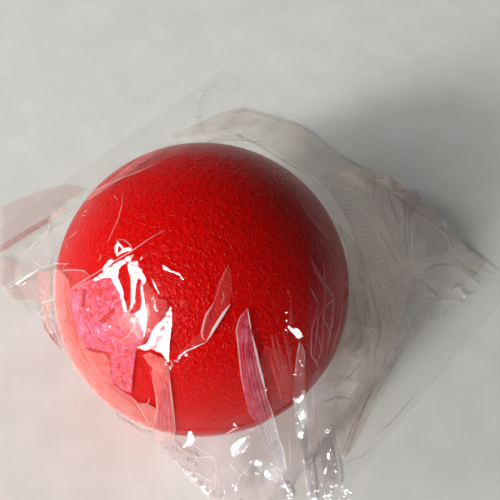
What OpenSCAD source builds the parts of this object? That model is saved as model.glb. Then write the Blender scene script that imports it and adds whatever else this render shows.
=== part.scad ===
// Squeeze ball for hand and finger exercise, sealed in its clear film bag.
// Millimetres. The origin is on the surface that the bag lies on, below the ball's centre.
// +X runs along the bag from its left end seal to its right one, +Y towards its long fin seal.

/* [Ball] */
// Diameter of the ball over its skin
ball_d = 63; // [50:0.5:75]
// Thickness of the coated skin round the foam
skin_t = 0.8; // [0.5:0.1:2]
// Height of the flash bead where the two mould halves met
bead_h = 0.15; // [0.05:0.01:0.25]
// Width of the whole flash bead, half of it on each half skin
bead_w = 0.8; // [0.4:0.1:2]
// Gap left between pieces that are bonded to each other
bond_gap = 0.1; // [0.05:0.01:0.2]

/* [Pour plug] */
// Diameter of the plug's shank
plug_d = 7; // [5:0.5:12]
// Diameter of the plug's head, which fills the countersink in the foam
plug_head_d = 10; // [8:0.5:16]
// Height of the plug's head below the foam's surface
plug_head_h = 1.6; // [1:0.1:3]
// Depth that the plug reaches, from the outside of the skin
plug_depth = 8; // [5:0.5:14]
// Depth of the dish in the plug's outer face
plug_dish = 0.4; // [0.2:0.1:0.8]

/* [Bag] */
// Thickness of the film
film_t = 0.15; // [0.1:0.01:0.3]
// Gap between the ball and the film round it
film_gap = 0.3; // [0.3:0.05:1]
// Length of film between the ball and the left end seal
left_room = 25; // [12:1:50]
// Length of film between the ball and the right end seal
right_room = 8; // [6:1:50]
// Distance by which the front fold is tucked in under the ball's side
front_tuck = 5.5; // [0:0.5:12]
// Width of film between the ball and the back fold
back_room = 43; // [36:1:70]
// Width of the strip along the folds and seals where the two layers lie together
flat_edge = 1.5; // [1:0.5:3]
// How slack the film hangs between the ball and its edges: 0 is taut
slack = 0.5; // [0.1:0.05:0.8]
// How deep the pleats are that run from the ball to the edges: 0 is none
pleating = 0.6; // [0.1:0.05:0.9]
// Height by which the film billows up along the back fold
billow_h = 9; // [0:0.5:12]
// Place of the billow along that fold
billow_x = 12; // [-10:1:20]
// Spread of the billow
billow_w = 17; // [14:0.5:22]
// Spread of each large fold round the ball, in degrees
fold_spread = 6; // [5:0.5:9]

/* [Seals] */
// Width of each crimped end seal
seal_w = 10; // [8:0.5:16]
// Spacing of the crimp ribs along each end seal
seal_pitch = 1.5; // [1:0.1:2.5]
// Height of the crimp ribs
seal_rib_h = 0.3; // [0.1:0.05:0.6]
// Spacing of the teeth along each zigzag cut
tooth_pitch = 1.7; // [1.2:0.1:3]
// Depth of the zigzag cut
tooth_h = 0.9; // [0.5:0.1:1.5]
// Width of the fin seal
fin_w = 9; // [6:0.5:12]
// Distance from the ball's centre line to the near edge of the fin seal
fin_y = 31; // [28:0.5:48]
// Spacing of the ribs across the fin seal
fin_pitch = 0.9; // [0.8:0.1:2]
// Height of the ribs across the fin seal
fin_rib_h = 0.2; // [0.1:0.05:0.4]
// Gap between the fin seal and the film that it lies on
fin_gap = 0.3; // [0.2:0.05:0.5]

/* [Hidden] */
round_fn = 96;

ball_r = ball_d / 2;
core_r = ball_r - skin_t - bond_gap;
ball_z = film_t + film_gap + ball_r;
wrap_r = ball_r + bead_h + film_gap;

x_left = -(ball_r + left_room);
x_right = ball_r + right_room;
y_front = front_tuck - ball_r;
y_back = ball_r + back_room;
bag_w = y_back - y_front;

red = "#d3131d";
foam = "#e8d9c4";
clear = [0.86, 0.88, 0.9, 0.3];
crimped = [0.9, 0.92, 0.93, 0.5];

// --- the draped film, as a height over each point of the bag ---

step_angle = 4;
wrap_rings = 10;
fall_rings = 8;
edge_rings = 3;
corner_power = 6;
pleats = 9;

// Direction from the ball, in degrees, and height of each large fold that stands out from the slope
folds = [[-34, 1.6], [-16, 1.2], [4, 1.5], [22, 1.8], [166, 2], [180, 1.6], [193, 2.2], [206, 1.5]];

corners = [[x_left, y_front], [x_right, y_front], [x_right, y_back], [x_left, y_back]];

// Point where the direction a, in degrees, meets the edge of the film between the end seals.
function rim_at(a) =
    let (
        to_x = (cos(a) > 0 ? x_right : x_left) / (abs(cos(a)) < 0.001 ? 0.001 : cos(a)),
        to_y = (sin(a) > 0 ? y_back : y_front) / (abs(sin(a)) < 0.001 ? 0.001 : sin(a)),
        far = min(abs(to_x), abs(to_y))
    )
    far * [cos(a), sin(a)];

// Points round that edge, at even angles from each corner to the next.
rim = [
    for (side = [0 : 3])
        let (
            from = atan2(corners[side].y, corners[side].x),
            to = atan2(corners[(side + 1) % 4].y, corners[(side + 1) % 4].x),
            span = (to - from + 360) % 360,
            steps = ceil(span / step_angle)
        )
        for (step = [0 : steps - 1])
            rim_at(from + span * step / steps)
];

// Distance from the ball's axis to the foot of the slope, in the direction of point p.
// Its corners are rounded: the film lies flat in the bag's corners.
function foot_at(p) =
    let (
        to_x = norm(p) * ((p.x > 0 ? x_right : x_left) - sign(p.x) * flat_edge) / p.x,
        to_y = norm(p) * ((p.y > 0 ? y_back : y_front) - sign(p.y) * flat_edge) / p.y,
        by_x = abs(p.x) < 0.001 ? 0 : pow(1 / to_x, corner_power),
        by_y = abs(p.y) < 0.001 ? 0 : pow(1 / to_y, corner_power)
    )
    pow(by_x + by_y, -1 / corner_power);

// Angle from the top of the ball at which the slope leaves it.
function leave_angle(foot, r, z_foot) =
    let (drop = ball_z - z_foot, far = norm([foot, drop]))
    atan2(foot, -drop) - acos(r / far);

// Height by which the billow raises the foot of the slope at the point q.
function billow(q) =
    billow_h * exp(-(pow(q.x - billow_x, 2) + pow(q.y - y_back, 2)) / pow(billow_w, 2));

// Height of the large folds in the direction turn.
function fold_h(turn) =
    max([for (fold = folds)
        fold[1] * exp(-pow(((turn - fold[0] + 540) % 360 - 180) / fold_spread, 2))]);

// The slope towards point p, grown outwards by g: the angle at which it leaves the ball, and its
// top and foot as [distance, height].
function slope(p, g) =
    let (
        r = wrap_r + g,
        foot = foot_at(p),
        z_foot = film_t + g + billow(foot * p / norm(p)),
        leave = leave_angle(foot + g, r, z_foot)
    )
    [leave, [r * sin(leave), ball_z + r * cos(leave)], [foot + g, z_foot]];

// Point at the share u of the way from the top of the slope to its foot.
// The ball falls away from the straight slope as the square of the distance along it, divided by
// its diameter. The sag and the pleats share that room, so the film stays clear of the ball, and
// the large folds stand out square to the slope.
function fall(u, top, foot, turn) =
    let (
        run = norm(foot - top),
        room = run * run / (2 * wrap_r),
        sag = slack * room * u * u * (1 - u),
        pleat = pleating * (1 - slack) * room * pow(sin(180 * u) / PI, 2) * (1 - cos(pleats * turn)) / 2,
        out = [top.y - foot.y, foot.x - top.x] / run
    )
    top + (foot - top) * u - [0, sag + pleat] + fold_h(turn) * sin(180 * u) * out;

// Profile of the film towards point p, as [distance, height] pairs, grown outwards by g.
// Past the foot it turns down to the edge, where both layers meet.
function profile(p, g) =
    let (
        line = slope(p, g),
        foot = line[2],
        edge = norm(p) - film_t - foot_at(p),
        rise = foot.y - film_t - g
    )
    concat(
        [for (ring = [1 : wrap_rings])
            let (a = line[0] * ring / wrap_rings)
                [(wrap_r + g) * sin(a), ball_z + (wrap_r + g) * cos(a)]],
        [for (ring = [1 : fall_rings])
            fall(ring / fall_rings, line[1], foot, atan2(p.y, p.x))],
        [for (ring = [1 : edge_rings - 1])
            let (a = 90 * ring / edge_rings)
                foot + [edge * sin(a), rise * (cos(a) - 1)]]
    );

// Height of the film's outer face over the point p, for points clear of the large folds.
function film_z(p) =
    let (
        r = wrap_r + film_t,
        line = slope(p, film_t),
        u = (norm(p) - line[1].x) / (line[2].x - line[1].x)
    )
    u > 1 ? line[2].y
    : u < 0 ? ball_z + sqrt(r * r - norm(p) * norm(p))
    : fall(u, line[1], line[2], atan2(p.y, p.x)).y;

// One face of the film as rings of points, from the top of the ball out to the rim.
function film_rings(g) =
    let (lines = [for (p = rim) profile(p, g)])
    concat(
        [for (ring = [0 : wrap_rings + fall_rings + edge_rings - 2])
            [for (i = [0 : len(rim) - 1])
                let (way = rim[i] / norm(rim[i]), q = lines[i][ring])
                    [way.x * q[0], way.y * q[0], q[1]]]],
        [[for (p = rim) [p.x, p.y, film_t + g]]]
    );

function flatten(lists) = [for (list = lists) for (item = list) item];

// Two triangles for each cell of a grid of points: rows of count, closed into rings.
function ring_cells(first, rows, count, flip) =
    [for (row = [0 : rows - 2])
        for (i = [0 : count - 1])
            let (
                a = first + row * count + i,
                b = first + row * count + (i + 1) % count,
                c = b + count,
                d = a + count
            )
            each flip ? [[c, b, a], [d, c, a]] : [[a, b, c], [a, c, d]]];

// --- sections and outlines ---

module half_skin() {
    rotate_extrude($fn = round_fn)
        intersection() {
            difference() {
                union() {
                    circle(ball_r, $fn = round_fn);
                    polygon([
                        [0, 0],
                        [ball_r + bead_h, 0],
                        [ball_r, bead_w / 2],
                        [0, bead_w / 2]
                    ]);
                }
                circle(ball_r - skin_t, $fn = round_fn);
            }
            square(2 * ball_r);
        }
}

// The plug as a solid of revolution, grown by g all round for its hole.
module plug_form(g) {
    rotate_extrude($fn = round_fn)
        polygon([
            [0, -ball_r - g],
            [plug_d / 2 + g, -ball_r - g],
            [plug_d / 2 + g, -core_r],
            [plug_head_d / 2 + g, -core_r],
            [plug_head_d / 2 + g, plug_head_h - core_r + g],
            [plug_d / 2 + g, plug_head_h - core_r + g],
            [plug_d / 2 + g, plug_depth - ball_r + g],
            [0, plug_depth - ball_r + g]
        ]);
}

// Crimped strip of both layers of film, from its inner edge at x = 0 to x = seal_w.
module end_seal() {
    ribs = floor(seal_w / seal_pitch);
    steps = 2 * ribs;
    lower = [for (i = [0 : steps]) [seal_w * i / steps, (i % 2) * seal_rib_h]];
    upper = [for (i = [steps : -1 : 0]) lower[i] + [0, 2 * film_t]];
    teeth = round(bag_w / tooth_pitch);
    cut = [for (i = [0 : 2 * teeth]) [seal_w - (i % 2) * tooth_h, y_front + bag_w * i / (2 * teeth)]];
    intersection() {
        translate([0, y_back])
            rotate([90, 0, 0])
                linear_extrude(bag_w)
                    polygon(concat(lower, upper));
        linear_extrude(seal_rib_h + 2 * film_t)
            polygon(concat([[0, y_front]], cut, [[0, y_back]]));
    }
}

// --- sub-parts ---

module foam_core() {
    color(foam)
        translate([0, 0, ball_z])
            difference() {
                sphere(core_r, $fn = round_fn);
                plug_form(bond_gap);
            }
}

module lower_skin() {
    color(red)
        translate([0, 0, ball_z])
            difference() {
                mirror([0, 0, 1])
                    half_skin();
                plug_form(bond_gap);
            }
}

module upper_skin() {
    color(red)
        translate([0, 0, ball_z])
            half_skin();
}

module pour_plug() {
    color(red)
        translate([0, 0, ball_z])
            difference() {
                intersection() {
                    plug_form(0);
                    sphere(ball_r, $fn = round_fn);
                }
                translate([0, 0, -ball_r - plug_d + plug_dish])
                    sphere(plug_d, $fn = round_fn);
            }
}

module lower_film() {
    color(clear)
        translate([x_left, y_front])
            cube([x_right - x_left, bag_w, film_t]);
}

module upper_film() {
    outer = film_rings(film_t);
    inner = film_rings(0);
    rows = len(outer);
    count = len(rim);
    points = concat(
        flatten(outer),
        flatten(inner),
        [[0, 0, ball_z + wrap_r + film_t], [0, 0, ball_z + wrap_r]]
    );
    inside = rows * count;
    top = 2 * inside;
    edge = (rows - 1) * count;
    faces = concat(
        ring_cells(0, rows, count, false),
        ring_cells(inside, rows, count, true),
        [for (i = [0 : count - 1]) [top, (i + 1) % count, i]],
        [for (i = [0 : count - 1]) [top + 1, inside + i, inside + (i + 1) % count]],
        [for (i = [0 : count - 1])
            let (a = edge + i, b = edge + (i + 1) % count)
                each [[a, b, b + inside], [a, b + inside, a + inside]]]
    );
    color(clear)
        polyhedron(points, faces);
}

module fin_seal() {
    across = 3;
    ribs = floor((x_right - x_left - 2 * flat_edge) / fin_pitch);
    stations = 2 * ribs + 1;
    function at(i, j) = [
        x_left + flat_edge + (x_right - x_left - 2 * flat_edge) * i / (stations - 1),
        fin_y + fin_w * j / (across - 1)
    ];
    function base_z(i, j) = film_z(at(i, j)) + fin_gap;
    lower = [for (i = [0 : stations - 1])
        for (j = [0 : across - 1])
            [at(i, j).x, at(i, j).y, base_z(i, j)]];
    upper = [for (i = [0 : stations - 1])
        for (j = [0 : across - 1])
            [at(i, j).x, at(i, j).y, base_z(i, j) + 2 * film_t + (i % 2) * fin_rib_h]];
    top = len(lower);
    last = (stations - 1) * across;
    faces = concat(
        [for (i = [0 : stations - 2])
            for (j = [0 : across - 2])
                let (a = i * across + j, b = a + 1, c = a + across + 1, d = a + across)
                    each [[c, b, a], [d, c, a], [top + a, top + b, top + c], [top + a, top + c, top + d]]],
        [for (i = [0 : stations - 2])
            let (a = i * across, d = a + across, b = a + across - 1, c = b + across)
                each [[top + a, top + d, d], [top + a, d, a], [b, c, top + c], [b, top + c, top + b]]],
        [for (j = [0 : across - 2])
            each [[j, j + 1, top + j + 1], [j, top + j + 1, top + j],
                [last + j + 1, last + j, top + last + j],
                [last + j + 1, top + last + j, top + last + j + 1]]]
    );
    color(crimped)
        polyhedron([each lower, each upper], faces);
}

module left_end_seal() {
    color(crimped)
        translate([x_left, 0])
            mirror([1, 0, 0])
                end_seal();
}

module right_end_seal() {
    color(crimped)
        translate([x_right, 0])
            end_seal();
}

foam_core();
lower_skin();
upper_skin();
pour_plug();
lower_film();
upper_film();
fin_seal();
left_end_seal();
right_end_seal();
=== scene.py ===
import math

import bpy
import numpy as np
from mathutils import Matrix, Vector
from mathutils.bvhtree import BVHTree
from mathutils.geometry import delaunay_2d_cdt


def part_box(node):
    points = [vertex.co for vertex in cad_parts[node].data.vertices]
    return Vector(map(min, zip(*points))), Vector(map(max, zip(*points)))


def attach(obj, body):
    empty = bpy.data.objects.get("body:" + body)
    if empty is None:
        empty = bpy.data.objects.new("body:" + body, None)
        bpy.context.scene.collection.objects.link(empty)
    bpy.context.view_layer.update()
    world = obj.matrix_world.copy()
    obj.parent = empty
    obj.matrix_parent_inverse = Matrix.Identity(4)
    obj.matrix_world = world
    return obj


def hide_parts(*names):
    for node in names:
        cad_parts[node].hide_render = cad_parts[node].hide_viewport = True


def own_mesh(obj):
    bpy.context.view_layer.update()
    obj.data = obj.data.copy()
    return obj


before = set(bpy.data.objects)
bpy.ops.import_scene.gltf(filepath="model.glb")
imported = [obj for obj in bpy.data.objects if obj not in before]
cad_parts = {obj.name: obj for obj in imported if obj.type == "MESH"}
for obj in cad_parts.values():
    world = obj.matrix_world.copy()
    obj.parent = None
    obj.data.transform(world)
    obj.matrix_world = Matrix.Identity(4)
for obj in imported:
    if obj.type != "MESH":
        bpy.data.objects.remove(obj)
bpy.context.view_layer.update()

MM = 0.001


# --- sizes, read from the frame ---

def low(node):
    """Lowest corner of a CAD node, as an array in metres."""
    return np.array(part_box(node)[0])


def high(node):
    """Highest corner of a CAD node, as an array in metres."""
    return np.array(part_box(node)[1])


BALL_Z = low("upper_skin")[2]
BALL_R = high("upper_skin")[2] - BALL_Z
BALL_TOP = high("upper_skin")[2]
BEAD_H = high("upper_skin")[0] - BALL_R
CORE_R = high("foam_core")[0]
# How far the plug's head stands out past its shank, the gap round it and the skin's thickness
PLUG_HEAD, PLUG_GAP, SKIN_T = 1.5 * MM, 0.1 * MM, 0.8 * MM
PLUG_R = high("pour_plug")[0] - PLUG_HEAD
FILM_T = high("lower_film")[2]
WRAP_R = high("upper_film")[2] - BALL_Z - FILM_T / 2
X_LEFT, Y_FRONT = low("lower_film")[:2]
X_RIGHT, Y_BACK = high("lower_film")[:2]
FIN_Y = low("fin_seal")[1]
FIN_W = high("fin_seal")[1] - FIN_Y
RIM_Z = 1.5 * FILM_T
CENTRE = np.array([0, 0, BALL_Z])
CENTRE_POINT = Vector(CENTRE)

# The bag's own sizes, shares and counts, as in the part
FLAT_EDGE = 1.5 * MM
SLACK = 0.5
PLEATING = 0.6
PLEATS = 9
CORNER_POWER = 6
FIN_RIB = 0.9 * MM
BILLOW_H, BILLOW_X, BILLOW_W = 9 * MM, 12 * MM, 17 * MM
FOLD_SPREAD = math.radians(6)
# Direction in degrees and height in millimetres of each large fold
FOLDS = [
    (-34, 1.6), (-16, 1.2), (4, 1.5), (22, 1.8), (166, 2), (180, 1.6), (193, 2.2), (206, 1.5),
]
# How far the floor lies below the bag
FLOOR_GAP = 0.03 * MM

# The window's direction from the ball and its distance
LIGHT_WAY = (-0.06, -0.90, 0.42)
LIGHT_DISTANCE = 2.2
# Softboxes: direction, distance, side in metres, brightness of the face, colour and whether it
# shows as a reflection
LAMPS = {
    "window": (LIGHT_WAY, LIGHT_DISTANCE, 1.2, 6.6, "#fffdfb", True),
    "window_core": (LIGHT_WAY, LIGHT_DISTANCE - 0.01, 0.366, 56, "#fffdfb", True),
    "side_window": ((-0.78, -0.50, 0.38), LIGHT_DISTANCE, 0.94, 7.4, "#fbfcfc", False),
}
SKY_STRENGTH, BACKDROP_STRENGTH = 0.12, 0.8
FLOOR_SIZE = 3


# --- camera ---

# Where the ball's centre falls in the square frame, its radius there and the frame's side
BALL_PIXEL = (204, 288)
BALL_RADIUS_PIXELS = 146.5
IMAGE_PIXELS = 500
CAMERA_AZIMUTH = math.radians(45)
CAMERA_ELEVATION = math.radians(62)
CAMERA_DISTANCE = 150 * MM


def make_camera():
    """Sets the camera so that the ball's centre falls on BALL_PIXEL. Gives its place, turn and
    focal length in pixels."""
    focal = BALL_RADIUS_PIXELS / math.tan(math.asin(BALL_R / CAMERA_DISTANCE))
    back = Vector((
        math.sin(CAMERA_AZIMUTH) * math.cos(CAMERA_ELEVATION),
        -math.cos(CAMERA_AZIMUTH) * math.cos(CAMERA_ELEVATION),
        math.sin(CAMERA_ELEVATION),
    ))
    right = Vector((0, 0, 1)).cross(back).normalized()
    level = Matrix((right, back.cross(right), back)).transposed()
    half = IMAGE_PIXELS / 2
    ray = Vector((BALL_PIXEL[0] - half, half - BALL_PIXEL[1], -focal))
    turn = level @ ray.rotation_difference(Vector((0, 0, -1))).to_matrix()
    place = CENTRE_POINT + back * CAMERA_DISTANCE
    data = bpy.data.cameras.new("camera")
    data.sensor_width = 36
    data.lens = data.sensor_width * focal / IMAGE_PIXELS
    data.clip_start = 0.01
    camera = bpy.data.objects.new("camera", data)
    camera.matrix_world = turn.to_4x4()
    camera.location = place
    bpy.context.scene.collection.objects.link(camera)
    bpy.context.scene.camera = camera
    return place, turn, focal


# --- materials ---

def linear(hex_colour):
    """Linear RGBA of an sRGB hex colour such as "#c81418"."""
    parts = [int(hex_colour[i:i + 2], 16) / 255 for i in (1, 3, 5)]
    return [c / 12.92 if c <= 0.04045 else ((c + 0.055) / 1.055) ** 2.4 for c in parts] + [1]


def add_node(tree, kind, settings=None, inputs=None, links=None):
    """Adds a node, with its settings, its input values and its links from other sockets."""
    node = tree.nodes.new(kind)
    for name, value in (settings or {}).items():
        setattr(node, name, value)
    for name, value in (inputs or {}).items():
        node.inputs[name].default_value = value
    for name, socket in (links or {}).items():
        tree.links.new(socket, node.inputs[name])
    return node


def new_material(name):
    """A node material with its output and its object coordinates: (material, tree, output, place)."""
    material = bpy.data.materials.new(name)
    material.use_nodes = True
    tree = material.node_tree
    tree.nodes.clear()
    output = add_node(tree, "ShaderNodeOutputMaterial")
    return material, tree, output, add_node(tree, "ShaderNodeTexCoord").outputs["Object"]


def dress(piece, material):
    """Gives a piece one material in place of any it has."""
    piece.data.materials.clear()
    piece.data.materials.append(material)


# Width of the leather grain's wrinkles, a little coarser than real so that they show
GRAIN = 1.6 * MM


def moulded_skin():
    """In-mould coated polyurethane skin: saturated red, satin, with a leather grain.

    The eye sees fine, broken, curving wrinkles of even depth, and a short soft highlight on the
    side of each that faces the light."""
    material, tree, output, place = new_material("moulded_skin")
    wander = add_node(
        tree, "ShaderNodeTexNoise", inputs={"Scale": 1 / GRAIN, "Detail": 2.2, "Distortion": 0.6},
        links={"Vector": place},
    )
    line = add_node(tree, "ShaderNodeMath", {"operation": "SUBTRACT"}, {1: 0.5}, {0: wander.outputs["Fac"]})
    off = add_node(tree, "ShaderNodeMath", {"operation": "ABSOLUTE"}, links={0: line.outputs[0]})
    wrinkle = add_node(
        tree, "ShaderNodeMapRange", {"interpolation_type": "SMOOTHSTEP"},
        {"From Min": 0.0, "From Max": 0.08, "To Min": 1.0, "To Max": 0.0}, {"Value": off.outputs[0]},
    )
    fine = add_node(
        tree, "ShaderNodeTexNoise", inputs={"Scale": 2.2 / GRAIN, "Detail": 2, "Distortion": 0.6},
        links={"Vector": place},
    )
    relief = add_node(
        tree, "ShaderNodeMath", {"operation": "MULTIPLY_ADD"}, {1: 0.5},
        {0: wrinkle.outputs["Result"], 2: fine.outputs["Fac"]},
    )
    bump = add_node(
        tree, "ShaderNodeBump", {}, {"Strength": 0.8, "Distance": 0.2 * MM},
        {"Height": relief.outputs[0]},
    )
    colour = add_node(tree, "ShaderNodeValToRGB", links={"Fac": fine.outputs["Fac"]})
    for stop, (position, value) in enumerate([(0.3, "#c60303"), (0.7, "#da0605")]):
        colour.color_ramp.elements[stop].position = position
        colour.color_ramp.elements[stop].color = linear(value)
    shader = add_node(
        tree, "ShaderNodeBsdfPrincipled",
        inputs={"Roughness": 0.26, "IOR": 1.45, "Specular IOR Level": 0.15},
        links={"Base Color": colour.outputs["Color"], "Normal": bump.outputs["Normal"]},
    )
    tree.links.new(shader.outputs["BSDF"], output.inputs["Surface"])
    return material


def moulded_plug():
    """Cast polyurethane plug: the skin's red, a shade darker, smooth and satin."""
    material, tree, output, place = new_material("moulded_plug")
    fine = add_node(tree, "ShaderNodeTexNoise", inputs={"Scale": 900, "Detail": 3}, links={"Vector": place})
    bump = add_node(
        tree, "ShaderNodeBump", {}, {"Strength": 0.3, "Distance": 0.1 * MM}, {"Height": fine.outputs["Fac"]},
    )
    shader = add_node(
        tree, "ShaderNodeBsdfPrincipled", inputs={"Base Color": linear("#a80a0a"), "Roughness": 0.45},
        links={"Normal": bump.outputs["Normal"]},
    )
    tree.links.new(shader.outputs["BSDF"], output.inputs["Surface"])
    return material


def polypropylene_film(name, colours, alpha, roughness=0.06, relief=0.05, cloud_size=2.4 * MM, gloss=0.5):
    """Cast polypropylene film: clear and glossy. The eye sees it by its sharp white glints and, where it lies
    doubled, bunched or creased, by a milky veil, slightly uneven in its colour. That veil's pale colour is
    partly the film's own haze and partly painted sheen; some finishes paint shade or a reflection instead."""
    material, tree, output, place = new_material(name)
    cloud = add_node(
        tree, "ShaderNodeTexNoise", inputs={"Scale": 1 / cloud_size, "Detail": 4, "Distortion": 1.2},
        links={"Vector": place},
    )
    colour = add_node(tree, "ShaderNodeValToRGB", links={"Fac": cloud.outputs["Fac"]})
    ramp = colour.color_ramp.elements
    while len(ramp) < len(colours):
        ramp.new(0.5)
    for number, value in enumerate(colours):
        ramp[number].position = 0.38 + 0.24 * number / max(1, len(colours) - 1)
        ramp[number].color = linear(value)
    bump = add_node(
        tree, "ShaderNodeBump", {}, {"Strength": 0.5, "Distance": relief * MM},
        {"Height": cloud.outputs["Fac"]},
    )
    shader = add_node(
        tree, "ShaderNodeBsdfPrincipled",
        inputs={"Roughness": roughness, "IOR": 2.4, "Alpha": alpha, "Specular IOR Level": gloss},
        links={"Base Color": colour.outputs["Color"], "Normal": bump.outputs["Normal"]},
    )
    tree.links.new(shader.outputs["BSDF"], output.inputs["Surface"])
    return material


def open_foam():
    """Flexible polyurethane foam: cream, matt, with fine open cells."""
    material, tree, output, place = new_material("open_foam")
    cells = add_node(tree, "ShaderNodeTexVoronoi", inputs={"Scale": 1 / (0.6 * MM)}, links={"Vector": place})
    bump = add_node(
        tree, "ShaderNodeBump", {}, {"Strength": 0.6, "Distance": 0.2 * MM},
        {"Height": cells.outputs["Distance"]},
    )
    shader = add_node(
        tree, "ShaderNodeBsdfPrincipled", inputs={"Base Color": linear("#e8d9c4"), "Roughness": 0.9},
        links={"Normal": bump.outputs["Normal"]},
    )
    tree.links.new(shader.outputs["BSDF"], output.inputs["Surface"])
    return material


# Spacing of the table's specks
SPECK = 1.4 * MM


def table_top():
    """Painted board: pale warm grey and matt, faintly clouded, with a few fine specks."""
    material, tree, output, place = new_material("table_top")
    cloud = add_node(
        tree, "ShaderNodeTexNoise", inputs={"Scale": 1 / (14 * MM), "Detail": 5, "Roughness": 0.6},
        links={"Vector": place},
    )
    paint = add_node(tree, "ShaderNodeValToRGB", links={"Fac": cloud.outputs["Fac"]})
    for stop, (position, value) in enumerate([(0.35, "#edefe9"), (0.65, "#f4f6f2")]):
        paint.color_ramp.elements[stop].position = position
        paint.color_ramp.elements[stop].color = linear(value)
    dust = add_node(
        tree, "ShaderNodeTexNoise", inputs={"Scale": 1 / SPECK, "Detail": 1}, links={"Vector": place},
    )
    speck = add_node(
        tree, "ShaderNodeMapRange", {"interpolation_type": "SMOOTHSTEP"},
        {"From Min": 0.74, "From Max": 0.80, "To Min": 0.0, "To Max": 0.35}, {"Value": dust.outputs["Fac"]},
    )
    colour = add_node(
        tree, "ShaderNodeMix", {"data_type": "RGBA"}, {7: linear("#a89c84")},
        {0: speck.outputs["Result"], 6: paint.outputs["Color"]},
    )
    bump = add_node(
        tree, "ShaderNodeBump", {}, {"Strength": 0.15, "Distance": 0.1 * MM}, {"Height": dust.outputs["Fac"]},
    )
    shader = add_node(
        tree, "ShaderNodeBsdfPrincipled", inputs={"Roughness": 0.7},
        links={"Base Color": colour.outputs[2], "Normal": bump.outputs["Normal"]},
    )
    tree.links.new(shader.outputs["BSDF"], output.inputs["Surface"])
    return material


# --- the draped film: the same form as the part's own, with creases laid over it ---

def foot_at(way):
    """Distance from the ball's axis to the foot of the slope, for unit directions way."""
    x = np.where(way[:, 0] > 0, X_RIGHT - FLAT_EDGE, X_LEFT + FLAT_EDGE)
    y = np.where(way[:, 1] > 0, Y_BACK - FLAT_EDGE, Y_FRONT + FLAT_EDGE)
    by_x = np.abs(way[:, 0] / x) ** CORNER_POWER
    by_y = np.abs(way[:, 1] / y) ** CORNER_POWER
    return (by_x + by_y) ** (-1 / CORNER_POWER)


def rim_at(way):
    """Distance from the ball's axis to the edge of the film, for unit directions way."""
    x = np.where(way[:, 0] > 0, X_RIGHT, X_LEFT)
    y = np.where(way[:, 1] > 0, Y_BACK, Y_FRONT)
    tiny = 1e-9
    return np.minimum(
        np.abs(x / np.where(np.abs(way[:, 0]) < tiny, tiny, way[:, 0])),
        np.abs(y / np.where(np.abs(way[:, 1]) < tiny, tiny, way[:, 1])),
    )


def fold_height(angles):
    """Height of the large folds, at each angle."""
    heights = []
    for degrees, height in FOLDS:
        off = (angles - math.radians(degrees) + math.pi) % (2 * math.pi) - math.pi
        heights.append(height * MM * np.exp(-(off / FOLD_SPREAD) ** 2))
    return np.max(heights, axis=0)


def film_points(angles, wrap_rings, fall_rings, edge_rings):
    """Points of the draped film as rows of rings, from the top of the ball out to the rim."""
    way = np.stack([np.cos(angles), np.sin(angles)], 1)
    foot = foot_at(way)
    rim = rim_at(way)
    aside = np.hypot(foot * way[:, 0] - BILLOW_X, foot * way[:, 1] - Y_BACK)
    z_foot = RIM_Z + BILLOW_H * np.exp(-(aside / BILLOW_W) ** 2)
    drop = BALL_Z - z_foot
    leave = np.arctan2(foot, -drop) - np.arccos(WRAP_R / np.hypot(foot, drop))
    r_top = WRAP_R * np.sin(leave)
    z_top = BALL_Z + WRAP_R * np.cos(leave)
    run = np.hypot(foot - r_top, z_top - z_foot)
    room = run ** 2 / (2 * WRAP_R)
    fold = fold_height(angles)
    rings = []
    for ring in range(1, wrap_rings + 1):
        a = leave * ring / wrap_rings
        rings.append((WRAP_R * np.sin(a), BALL_Z + WRAP_R * np.cos(a)))
    for ring in range(1, fall_rings + 1):
        u = ring / fall_rings
        sag = SLACK * room * u * u * (1 - u)
        wave = (1 - np.cos(PLEATS * angles)) / 2
        pleat = PLEATING * (1 - SLACK) * room * (math.sin(math.pi * u) / math.pi) ** 2 * wave
        out = fold * math.sin(math.pi * u)
        r = r_top + (foot - r_top) * u + out * (z_top - z_foot) / run
        z = z_top + (z_foot - z_top) * u - sag - pleat + out * (foot - r_top) / run
        rings.append((r, z))
    for ring in range(1, edge_rings + 1):
        turn = math.pi / 2 * ring / edge_rings
        rings.append((foot + (rim - foot) * math.sin(turn), RIM_Z + (z_foot - RIM_Z) * math.cos(turn)))
    return np.array([np.column_stack([way * r[:, None], z]) for r, z in rings])


def grid_faces(rows, columns):
    """Four-cornered faces between rows of points that follow one another."""
    corners = [row * columns + column for row in range(rows - 1) for column in range(columns - 1)]
    return [(a, a + columns, a + columns + 1, a + 1) for a in corners]


def new_piece(name, points, faces, material):
    """A smooth mesh object from points and faces, with one material."""
    mesh = bpy.data.meshes.new(name)
    mesh.from_pydata(points, [], faces)
    mesh.shade_smooth()
    mesh.materials.append(material)
    piece = bpy.data.objects.new(name, mesh)
    bpy.context.scene.collection.objects.link(piece)
    return piece


def vertex_arrays(piece):
    """Places and normals of a mesh's vertices, as two arrays."""
    mesh = piece.data
    places = np.empty(len(mesh.vertices) * 3)
    normals = np.empty(len(mesh.vertices) * 3)
    mesh.vertices.foreach_get("co", places)
    mesh.vertices.foreach_get("normal", normals)
    return places.reshape(-1, 3), normals.reshape(-1, 3)


def crease(places, normals, centre, along, half_length, near, far, height):
    """Heights of one sharp fold: it rises over the width near and falls over the width far."""
    offset = places - centre
    across = np.cross(normals, along)
    across /= np.linalg.norm(across, axis=1)[:, None]
    side = np.einsum("ij,ij->i", offset, across)
    ends = np.clip(1 - (offset @ along / half_length) ** 2, 0, 1)
    ridge = np.clip(1 - np.where(side < 0, -side / near, side / far), 0, 1)
    close = np.linalg.norm(offset, axis=1) < 1.3 * half_length
    return height * ridge * np.sqrt(ends) * close


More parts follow.
